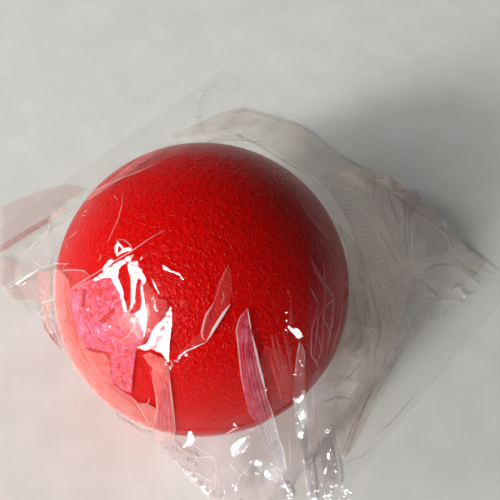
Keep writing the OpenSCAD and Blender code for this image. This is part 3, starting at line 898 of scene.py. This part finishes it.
def stretch(line, step):
    """Points every step pixels along a line."""
    line = np.array(line, dtype=float)
    along = np.concatenate([[0], np.cumsum(np.linalg.norm(np.diff(line, axis=0), axis=1))])
    at = np.linspace(0, along[-1], max(2, int(round(along[-1] / step)) + 1))
    return np.column_stack([np.interp(at, along, line[:, 0]), np.interp(at, along, line[:, 1])])


def inside(outline, x, y):
    """True where a point lies inside an outline."""
    ahead = np.roll(outline, -1, axis=0)
    here = np.array(outline, dtype=float)
    spans = (here[:, 1] > y) != (ahead[:, 1] > y)
    rise = np.where(spans, ahead[:, 1] - here[:, 1], 1)
    cut = here[:, 0] + (y - here[:, 1]) / rise * (ahead[:, 0] - here[:, 0])
    return bool(np.count_nonzero(spans & (x < cut)) % 2)


def lay_outline(outline, step, inner, holes=()):
    """Triangles that fill an outline: edge points every step, inner points every inner pixels."""
    rings = [stretch(list(line) + list(line[:1]), step)[:-1] for line in (outline, *holes)]
    edges, start = [], 0
    for ring in rings:
        edges += [(start + i, start + (i + 1) % len(ring)) for i in range(len(ring))]
        start += len(ring)
    edge_points = np.vstack(rings)
    sides = np.vstack([np.roll(ring, -1, axis=0) - ring for ring in rings])
    lowest, highest = rings[0].min(axis=0), rings[0].max(axis=0)
    grid = []
    for row, y in enumerate(np.arange(lowest[1] + inner / 2, highest[1], inner * 0.87)):
        for x in np.arange(lowest[0] + (row % 2 + 0.5) * inner / 2, highest[0], inner):
            to = np.array([x, y]) - edge_points
            share = np.clip((to * sides).sum(1) / (sides * sides).sum(1), 0, 1)
            if np.linalg.norm(to - sides * share[:, None], axis=1).min() > 0.6 * step:
                grid.append((x, y))
    points = [Vector(p) for p in edge_points.tolist() + grid]
    found = delaunay_2d_cdt(points, edges, [], 1, 1e-6)
    flat, faces = found[0], found[2]
    kept = []
    for face in faces:
        x, y = sum((flat[i] for i in face), Vector((0, 0))) / len(face)
        if not any(inside(hole, x, y) for hole in holes):
            kept.append(face)
    return flat, kept


# How far the kinds of fold stand off the film
VEIL_RISE, VEIL_WRINKLE = 0.2 * MM, 0.06 * MM
FACET_RISE, FACET_ROOM = 0.3 * MM, 0.15 * MM
CREASE_RISE, NEST_RISE, CREASE_H = 0.32 * MM, 0.04 * MM, 0.2 * MM
LOOSE_RISE = 0.3 * MM
# Distances in pixels between the points on an outline and on a line, and inside a veil
EDGE_STEP, LINE_STEP, VEIL_STEP = 1.5, 2.0, 3.0


def lay_veil(view, film, outline, holes, seed, store):
    """A loose double fold: raised inside its outline, with small wrinkles."""
    flat, faces = lay_outline(outline, EDGE_STEP, VEIL_STEP, holes)
    pick = np.random.RandomState(seed)
    points = []
    for right, down in flat:
        wrinkle = VEIL_WRINKLE * pick.uniform(-1, 1)
        points.append(meet_film(view, film, right, down, VEIL_RISE + wrinkle)[0])
    store.add(points, facing(view, points, faces))


# The longest side of a face, past which it spans a drop in the film, and the same for a facet
LONGEST, LONGEST_FACET = 12 * MM, 20 * MM


def facing(view, points, faces, longest=LONGEST):
    """The faces, turned towards the main view, without those that span a drop in the film."""
    kept = []
    for face in faces:
        a, b, c = (points[i] for i in face[:3])
        if max((a - b).length, (b - c).length, (c - a).length) > longest:
            continue
        normal = (b - a).cross(c - a)
        kept.append(list(face) if normal.dot(view[0] - a) > 0 else list(face)[::-1])
    return kept


# Width and depth of the fine pleats in a large facet
PLEAT = 1.3 * MM
PLEAT_DEPTH = 0.015 * MM


def lay_facet(view, film, outline, lamp, store):
    """A facet of film, finely pleated where it is large, that mirrors the lamp into the main view."""
    middle = np.mean(outline, axis=0)
    centre, normal = meet_film(view, film, middle[0], middle[1], FACET_RISE)
    mirror = ((view[0] - centre).normalized() + (lamp - centre).normalized()).normalized()
    outline = [tuple(float(c) for c in point) for point in outline]
    if len(outline) > 4:
        flat, faces = lay_outline(outline, EDGE_STEP, EDGE_STEP)
    else:
        flat, faces = outline, [(0, 1, 2, 3)]
    points, depth = [], 0
    pick = np.random.RandomState(len(store.points))
    turn = pick.uniform(0, math.pi)
    for right, down in flat:
        start, way = sight(view, right, down)
        across = (right * math.cos(turn) + down * math.sin(turn)) / PIXELS_PER_MM * MM
        wave = math.sin(2 * math.pi * across / PLEAT) + pick.uniform(-0.4, 0.4)
        pleat = PLEAT_DEPTH * wave * (len(flat) > 4)
        point = start + way * ((centre - start).dot(mirror) / way.dot(mirror) + pleat)
        under = meet_film(view, film, right, down, FACET_ROOM)[0]
        depth = max(depth, (under - point).dot(normal))
        points.append(point)
    shift = (view[0] - centre).normalized() * depth
    points = [p + shift for p in points]
    store.add(points, facing(view, points, faces, LONGEST_FACET))


def roof_points(met, halves, heights):
    """Points of a roof-shaped ridge over places on the film: one foot, the crest, the other."""
    points = []
    for i, ((place, normal), half, height) in enumerate(zip(met, halves, heights)):
        before, after = met[max(0, i - 1)][0], met[min(len(met) - 1, i + 1)][0]
        side = normal.cross(after - before).normalized()
        points += [place - side * half, place + normal * height, place + side * half]
    return points


def lay_crease(view, film, line, width, store, nest=0, steepness=STEEP):
    """A crease: a narrow roof-shaped ridge along a line, tapered to its ends."""
    rise = CREASE_RISE + NEST_RISE * nest
    met = [meet_film(view, film, right, down, rise) for right, down in stretch(line, LINE_STEP)]
    count = len(met)
    along = [i / max(1, count - 1) for i in range(count)]
    halves = [width * MM / 2 * min(1, 0.15 + 3 * t, 0.15 + 3 * (1 - t)) for t in along]
    points = roof_points(met, halves, [min(half * steepness, CREASE_H) for half in halves])
    faces = []
    for i in range(count - 1):
        a = 3 * i
        if (points[a + 1] - points[a + 4]).length > LONGEST:
            continue
        faces += [(a, a + 1, a + 4, a + 3), (a + 1, a + 2, a + 5, a + 4)]
    turned = [
        face if facing(view, points, [face[:3]], longest=1)[0] == list(face[:3]) else face[::-1]
        for face in faces
    ]
    store.add(points, turned)


# Half the length and half the width of a glittering facet, in pixels
GLITTER_LONG, GLITTER_WIDE = (0.7, 2.4), (0.3, 0.8)


def lay_glitter(view, film, count, outline, seed, lamp, store):
    """Tiny facets strewn inside an outline, each turned to mirror the lamp."""
    pick = np.random.RandomState(seed)
    lowest, highest = np.min(outline, axis=0), np.max(outline, axis=0)
    while count:
        at = pick.uniform(lowest, highest)
        turn = pick.uniform(0, 2 * math.pi)
        along = np.array([math.cos(turn), math.sin(turn)]) * pick.uniform(*GLITTER_LONG)
        across = np.array([-math.sin(turn), math.cos(turn)]) * pick.uniform(*GLITTER_WIDE)
        if inside(outline, *at):
            count -= 1
            corners = [at - along, at + 0.4 * along - across, at + along, at - 0.3 * along + across]
            lay_facet(view, film, corners, lamp, store)


def lay_streaks(view, film, count, width, near, far, seed, store):
    """Fine streaks between two lines, where bunched film lies in narrow pleats."""
    pick = np.random.RandomState(seed)
    near, far = np.array(near, dtype=float), np.array(far, dtype=float)
    for number in range(count):
        share = (number + pick.uniform(0.25, 0.75)) / count
        loose = 0.6 if len(near) > 2 else 0.2
        line = near + (far - near) * share + pick.uniform(-loose, loose, near.shape)
        first = pick.randint(0, 2) if len(near) > 2 else 0
        lay_crease(view, film, line[first:].tolist(), width * pick.uniform(0.7, 1.4), store)


# Random folds: how many, and the distance between their points in millimetres
LOOSE_FOLDS = 130
LOOSE_STEP = 0.8


def scatter_folds(view, film, piece, hazy, creased):
    """Random folds where the film hangs free and on the ball's far side."""
    places, normals = vertex_arrays(piece)
    pick = np.random.RandomState(11)
    away = np.einsum("ij,ij->i", normals, np.array(view[0]) - places) < 0.02
    sites = np.flatnonzero((on_slope(places) | (on_ball(places) & away)) & (places[:, 2] > 0.8 * MM))
    for _ in range(LOOSE_FOLDS):
        point = Vector(places[pick.choice(sites)])
        outward = Vector((point.x, point.y, point.z - BALL_Z - WRAP_R))
        swing = pick.normal(0, 0.35)
        steps = int(pick.uniform(8, 40))
        width = pick.uniform(0.15, 0.45) if pick.uniform() < 0.6 else pick.uniform(1.0, 3.0)
        store = creased if width < 0.5 else hazy
        met = []
        for _ in range(steps):
            hit, normal, _, _ = film.find_nearest(point)
            if normal.z < 0:
                normal = -normal
            met.append((hit + normal * LOOSE_RISE, normal))
            if hit.z < 0.6 * MM:
                break
            ahead = (outward - normal * outward.dot(normal)).normalized()
            course = ahead * math.cos(swing) + normal.cross(ahead) * math.sin(swing)
            swing += pick.normal(0, 0.05)
            point = hit + course * LOOSE_STEP * MM
        count = len(met)
        if count < 5:
            continue
        taper = [math.sin(math.pi * (i + 0.3) / (count - 0.4)) ** 0.7 for i in range(count)]
        halves = [width * MM / 2 * share for share in taper]
        points = roof_points(met, halves, [min(half, LOOSE_RISE) * STEEP for half in halves])
        store.add(points, grid_faces(count, 3))


def make_folds(view, upper, films):
    """All folds that lie on the upper film, as one piece for each finish of the film."""
    bpy.context.view_layer.update()
    film = BVHTree.FromPolygons(
        [v.co.copy() for v in upper.data.vertices], [list(p.vertices) for p in upper.data.polygons],
    )
    lamp = CENTRE_POINT + Vector(LIGHT_WAY).normalized() * LIGHT_DISTANCE
    stores = {finish: Sheetlets() for finish in films}
    for number, (finish, outline, *holes) in enumerate(VEILS):
        lay_veil(view, film, outline, holes, number, stores[finish])
    for outline in FACETS:
        lay_facet(view, film, outline, lamp, stores["mirror"])
    for number, (count, outline) in enumerate(GLITTER):
        lay_glitter(view, film, count, outline, number, lamp, stores["mirror"])
    for kind, width, line in CREASES:
        nests, steepness = CREASE_FORMS.get(kind, SOFT_FORM)
        for nest in range(nests):
            share = (nests - nest) / nests
            lay_crease(view, film, line, width * share, stores[CREASED_OF[kind]], nest, steepness)
    for number, (count, kind, width, near, far) in enumerate(STREAKS):
        lay_streaks(view, film, count, width, near, far, number, stores[CREASED_OF[kind]])
    scatter_folds(view, film, upper, stores["hazy"], stores["creased"])
    folds = []
    for finish, store in stores.items():
        fold = new_piece(finish + "_folds", store.points, store.faces, films[finish][0])
        fold.data.materials.append(films[finish][-1])
        fold.data.materials.append(films["faint"][0])
        # Faces that the main camera sees over the ball take the copy with the ball's red painted in; film
        # clinging to the ball's far side takes the faint film
        for face in fold.data.polygons:
            face.material_index = 1 if over_ball(view, face.center) else 2 * behind_ball(face.center)
        folds.append(fold)
    return film, folds


def over_ball(view, point):
    """True where the main view sees the ball behind a point of the film."""
    way = (point - view[0]).normalized()
    to = CENTRE_POINT - view[0]
    return (to - way * to.dot(way)).length < BALL_R - 0.2 * MM


def behind_ball(point):
    """True where the film clings to the ball's far side and lies smooth."""
    off = point - CENTRE_POINT
    return off.length < WRAP_R + 2.5 * MM and off.y - off.x > 0.3 * BALL_R


# Height of the fin seal's ribs, how far it stands off the upper film, and a height above all of it
RIB_H, FIN_RISE, ABOVE = 0.13 * MM, 0.25 * MM, 0.1


def make_fin_seal(film, thin, thick):
    """The bag's long seam: a crimped strip of double film that lies over on the upper film."""
    per_rib, across = 6, 7
    ribs = int((X_RIGHT - X_LEFT - 2 * FLAT_EDGE) / FIN_RIB)
    points = []
    for i in range(ribs * per_rib + 1):
        x = X_LEFT + FLAT_EDGE + i * FIN_RIB / per_rib
        for j in range(across):
            y = FIN_Y + FIN_W * j / (across - 1)
            hit = film.ray_cast(Vector((x, y, ABOVE)), Vector((0, 0, -1)))[0]
            share = 0.25 if j in (0, across - 1) else 1
            rib = RIB_H * (1 - math.cos(2 * math.pi * i / per_rib)) * share
            points.append((x, y, hit.z + FIN_RISE + rib))
    piece = new_piece("fin_seal_strip", points, grid_faces(ribs * per_rib + 1, across), thin)
    piece.data.materials.append(thick)
    # The faces round each rib's crest take the paler bunched film: partly the doubled film and partly a
    # painted sheen on the crests
    for number, face in enumerate(piece.data.polygons):
        face.material_index = int(1 <= number // (across - 1) % per_rib <= 3)
    return piece


# The lower film's waves: their height, the flat round under the ball, the width over which they
# grow beyond it, and the same from the film's edge
WAVE_H, FLAT_R, GROW, EDGE_GROW = 0.25 * MM, 12 * MM, 15 * MM, 8 * MM


def make_lower_film(material):
    """The film under the ball: flat, with faint waves of 20 by 33 mm where nothing presses on it."""
    nx, ny = 97, 101
    xs, ys = np.linspace(X_LEFT, X_RIGHT, nx), np.linspace(Y_FRONT, Y_BACK, ny)
    x, y = np.meshgrid(xs, ys, indexing="ij")
    free = np.clip((np.hypot(x, y) - FLAT_R) / GROW, 0, 1)
    edge = np.minimum(np.minimum(x - X_LEFT, X_RIGHT - x), np.minimum(y - Y_FRONT, Y_BACK - y))
    free *= np.clip(edge / EDGE_GROW, 0, 1)
    wave = np.sin(x * 310 + np.sin(y * 120) * 2) * np.sin(y * 190 + np.cos(x * 90) * 2)
    z = FILM_T / 2 + WAVE_H * free * (1 + wave) / 2
    points = np.column_stack([x.ravel(), y.ravel(), z.ravel()]).tolist()
    return new_piece("lower_film_sheet", points, grid_faces(nx, ny), material)


def carry(piece, body, node, anchor=None):
    """Puts a piece on the body that carries it, hides the CAD node that it stands for, and gives it a mesh of
    its own where an anchor is given.
    """
    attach(piece, body)
    if node:
        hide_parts(node)
    if anchor is not None:
        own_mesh(piece)


# Finishes of the film: the material's name, its darkest and lightest colour over the table and over the ball,
# its alpha and its roughness. The colours over the ball paint the ball's red, seen through the film, into the
# film itself, under its painted sheen or painted shade.
FINISHES = {
    # faint, hazy and bunched: loose, doubled and bunched film, whose pale veil is partly its own haze and
    # partly painted sheen
    "faint": ("loose_film", ["#f0e6e2", "#fff8f4"], ["#e8a0a0", "#f8b4b4"], 0.06, 0.08),
    "hazy": ("doubled_film", ["#f0e0da", "#fff4ee"], ["#ea8c8c", "#ffa4a0"], 0.13, 0.08),
    "bunched": ("bunched_film", ["#e2d2d8", "#f2e6ea"], ["#f08088", "#ffb0b4"], 0.26, 0.12),
    # milky: crumpled film whose near-white colour is partly its own haze and partly painted sheen and glints
    "milky": ("milky_film_with_painted_sheen", ["#f2eaf2", "#ffffff"], ["#f4a8b4", "#ffd8dc"], 0.72, 0.15),
    # rosy_faint and rosy: film beside the ball, pink with a painted reflection of the red ball
    "rosy_faint": ("film_with_faint_painted_ball_reflection", ["#e6a09a", "#f4b6b0"], ["#f47478", "#ff8c88"], 0.20, 0.10),
    "rosy": ("film_with_painted_ball_reflection", ["#da7e7a", "#ee9c98"], ["#f06c74", "#ff8c8c"], 0.48, 0.12),
    # salmon and blush: film folded double at the ball's rim, whose pale pink is partly the doubled film and
    # partly painted sheen
    "salmon": ("folded_under_film", ["#fcbcb4", "#ffccc4"], ["#ff7c74", "#ff9a90"], 0.50, 0.15),
    "blush": ("folded_rim_film", ["#fcc4bc", "#ffd4cc"], ["#ff8c84", "#ffa8a0"], 0.38, 0.15),
    # lilac: a painted reflection of the sky in creased film
    "lilac": ("lilac_film_with_painted_sky_reflection", ["#e8c8e0", "#f4dcec"], ["#f47cac", "#ffb4dc"], 0.40, 0.12),
    # maroon and dim: film in the ball's shadow; over the ball their colours are painted shade, and over the
    # table a painted warm bounce of light from the ball
    "maroon": ("film_in_shade_on_ball", ["#d8b8b0", "#e8ccc4"], ["#903044", "#a8485c"], 0.18, 0.12),
    "dim": ("film_in_shade", ["#f2dccf", "#fdf0e2"], ["#8c3c44", "#a45058"], 0.30, 0.12),
    # magenta: bunched film by the ball, whose pink is partly its own haze and partly painted sheen over the
    # ball's red
    "magenta": ("bunched_film_with_painted_sheen", ["#e0ccd6", "#efdfe7"], ["#d84868", "#f08098"], 0.42, 0.12),
    # shade: brown film laid where folds stand on edge, a painted shade
    "shade": ("film_with_painted_shade", ["#8c6c60", "#a08478"], ["#701c20", "#822a2e"], 0.20, 0.2),
    # creased and white: film whitened along sharp creases, with painted glints; white holds the brightest
    "creased": ("creased_film", ["#f0e8e8", "#fffafa"], ["#f4c8c8", "#ffdcdc"], 0.5, 0.2),
    "white": ("whitened_crease_film_with_painted_glint", ["#fffafa", "#ffffff"], ["#ffe8e8", "#fffafa"], 0.85, 0.25),
    # ruddy: a painted reflection of the ball in the film beside it
    "ruddy": ("film_that_mirrors_the_ball", ["#a0685c", "#b87c70"], ["#742834", "#8c3844"], 0.26, 0.12),
}
# Finishes that keep their full gloss over the ball, and the gloss of the others there
GLOSSY = ("creased", "white", "milky", "bunched")
DULLED = 0.1


def make_bag(view):
    """The whole bag: two films, their folds, the fin seal and the crimped end seals."""
    clear = polypropylene_film("clear_film", ["#262222", "#342c2c"], 0.018)
    flat = polypropylene_film("flat_film", ["#dcd6d0", "#eee8e2"], 0.02)
    # Each finish also has a copy for where it lies over the ball, whose colours have the ball's red painted
    # in
    films = {
        finish: [
            polypropylene_film(name, over_table, alpha, roughness),
            polypropylene_film(
                name + "_painted_over_the_ball", painted_ball_colours, alpha, roughness, gloss=0.5 if finish in GLOSSY else DULLED,
            ),
        ]
        for finish, (name, over_table, painted_ball_colours, alpha, roughness) in FINISHES.items()
    }
    # Film crumpled onto the ball's lit side: its pinks are painted sheen over the ball's red and its lilac a
    # painted reflection of the sky
    films["mottled"] = [polypropylene_film(
        "crumpled_film_with_painted_reflections", ["#ec3840", "#ff6a70", "#fb6c80", "#f470a0", "#ffa4cc"], 0.55, 0.15,
        relief=0.06, cloud_size=1.0 * MM, gloss=DULLED,
    )]
    films["mirror"] = [polypropylene_film("taut_film", ["#f0e6e6", "#fff8f8"], 0.14, relief=0)]
    crimped = polypropylene_film("crimped_film", ["#d8d0ca", "#eae2dc"], 0.04, 0.08)
    upper = make_upper_film(clear)
    upper.data.materials.append(flat)
    for face in upper.data.polygons:
        face.material_index = int(WRAP_RINGS * AROUND <= face.vertices[0] < FILM_RINGS * AROUND)
    film, folds = make_folds(view, upper, films)
    fin = make_fin_seal(film, crimped, films["bunched"][0])
    lower = make_lower_film(flat)
    carry(upper, "bag", "upper_film", 0)
    carry(fin, "bag", "fin_seal", 0)
    carry(lower, "bag", "lower_film")
    for fold in folds:
        carry(fold, "bag", None, 0)
    for node in ("left_end_seal", "right_end_seal"):
        dress(bpy.data.objects[node], crimped)


# --- the ball ---

def cut_plug_hole(piece):
    """The hole under the ball that the pour plug closes: opened, rounded and given an inner wall."""
    bpy.ops.object.mode_set(mode="EDIT")
    bpy.ops.mesh.select_all(action="DESELECT")
    bpy.ops.mesh.select_mode(type="VERT")
    bpy.ops.object.mode_set(mode="OBJECT")
    for vertex in piece.data.vertices:
        vertex.select = bool(vertex.co.z < BALL_Z / 2 and vertex.co.xy.length < PLUG_R + 0.15 * MM)
    bpy.ops.object.mode_set(mode="EDIT")
    bpy.ops.mesh.delete(type="VERT")
    bpy.ops.object.mode_set(mode="OBJECT")
    rim = min(v.co.xy.length for v in piece.data.vertices)
    for vertex in piece.data.vertices:
        vertex.select = bool(vertex.co.xy.length < rim + 0.02 * MM)
        if vertex.select:
            vertex.co.xy = vertex.co.xy * ((PLUG_R + PLUG_GAP) / vertex.co.xy.length)
    bpy.ops.object.mode_set(mode="EDIT")
    bpy.ops.mesh.extrude_region_move(TRANSFORM_OT_translate={"value": (0, 0, SKIN_T)})
    bpy.ops.object.mode_set(mode="OBJECT")


def make_skin(name, node, body, material, anchor_z):
    """One half of the ball's moulded skin, with its half of the parting bead."""
    sign = 1 if body == "crown" else -1
    bpy.ops.object.select_all(action="DESELECT")
    bpy.ops.mesh.primitive_uv_sphere_add(segments=256, ring_count=160, radius=BALL_R, location=(0, 0, BALL_Z))
    piece = bpy.context.object
    piece.name = name
    bpy.ops.object.transform_apply(location=True, rotation=True, scale=True)
    bpy.ops.object.mode_set(mode="EDIT")
    bpy.ops.mesh.select_all(action="SELECT")
    bpy.ops.mesh.bisect(
        plane_co=(0, 0, BALL_Z), plane_no=(0, 0, 1), clear_inner=sign > 0, clear_outer=sign < 0,
    )
    for step in (0.15, 0.4):
        bpy.ops.mesh.select_all(action="SELECT")
        bpy.ops.mesh.bisect(plane_co=(0, 0, BALL_Z + sign * step * MM), plane_no=(0, 0, 1))
    bpy.ops.object.mode_set(mode="OBJECT")
    if sign < 0:
        cut_plug_hole(piece)
    for vertex in piece.data.vertices:
        off = abs(vertex.co.z - BALL_Z)
        if off < 0.2 * MM:
            swell = 1 + BEAD_H / BALL_R * (1 if off < 0.05 * MM else 0.8)
            vertex.co.x *= swell
            vertex.co.y *= swell
    bpy.ops.object.shade_smooth()
    dress(piece, material)
    carry(piece, body, node, anchor_z)


def make_core(material):
    """The foam ball inside the skin."""
    bpy.ops.object.select_all(action="DESELECT")
    bpy.ops.mesh.primitive_ico_sphere_add(subdivisions=6, radius=CORE_R, location=(0, 0, BALL_Z))
    piece = bpy.context.object
    piece.name = "foam_core_ball"
    bpy.ops.object.transform_apply(location=True, rotation=True, scale=True)
    bpy.ops.object.shade_smooth()
    dress(piece, material)
    carry(piece, "ball", "foam_core", 0)


# --- floor and light ---

def make_floor(material):
    """A wide plain floor."""
    bpy.ops.object.select_all(action="DESELECT")
    bpy.ops.mesh.primitive_plane_add(size=FLOOR_SIZE, location=(0, 0, -FLOOR_GAP))
    floor = bpy.context.object
    floor.name = "floor"
    floor.data.materials.append(material)


def area_light(name, towards, distance, size, radiance, colour, mirrored):
    """A square softbox that faces the ball, given by the brightness of its face."""
    data = bpy.data.lights.new(name, "AREA")
    data.shape = "SQUARE"
    data.size = size
    data.color = linear(colour)[:3]
    data.energy = radiance * math.pi * size * size
    lamp = bpy.data.objects.new(name, data)
    way = Vector(towards).normalized()
    lamp.location = CENTRE_POINT + way * distance
    lamp.rotation_euler = way.to_track_quat("Z", "Y").to_euler()
    lamp.visible_glossy = mirrored
    bpy.context.scene.collection.objects.link(lamp)


def make_light():
    """A window-like softbox from the front with a bright core, a weaker one from the left that
    leaves no reflection, a weak sky and a pale backdrop that only the camera sees."""
    for name, settings in LAMPS.items():
        area_light(name, *settings)
    world = bpy.data.worlds.new("sky")
    world.use_nodes = True
    tree = world.node_tree
    sky = tree.nodes["Background"]
    sky.inputs["Color"].default_value = linear("#e3e6e4")
    sky.inputs["Strength"].default_value = SKY_STRENGTH
    backdrop = add_node(
        tree, "ShaderNodeBackground", inputs={"Color": linear("#dfe1de"), "Strength": BACKDROP_STRENGTH},
    )
    rays = add_node(tree, "ShaderNodeLightPath")
    mix = add_node(
        tree, "ShaderNodeMixShader",
        links={0: rays.outputs["Is Camera Ray"], 1: sky.outputs[0], 2: backdrop.outputs[0]},
    )
    tree.links.new(mix.outputs[0], tree.nodes["World Output"].inputs["Surface"])
    bpy.context.scene.world = world
    bpy.context.scene.view_settings.view_transform = "Standard"
    bpy.context.scene.cycles.transparent_max_bounces = 48


def main():
    view = make_camera()
    skin = moulded_skin()
    make_skin("upper_skin_grain", "upper_skin", "crown", skin, BALL_TOP)
    make_skin("lower_skin_grain", "lower_skin", "ball", skin, 0)
    make_core(open_foam())
    dress(bpy.data.objects["pour_plug"], moulded_plug())
    make_bag(view)
    make_floor(table_top())
    make_light()


main()
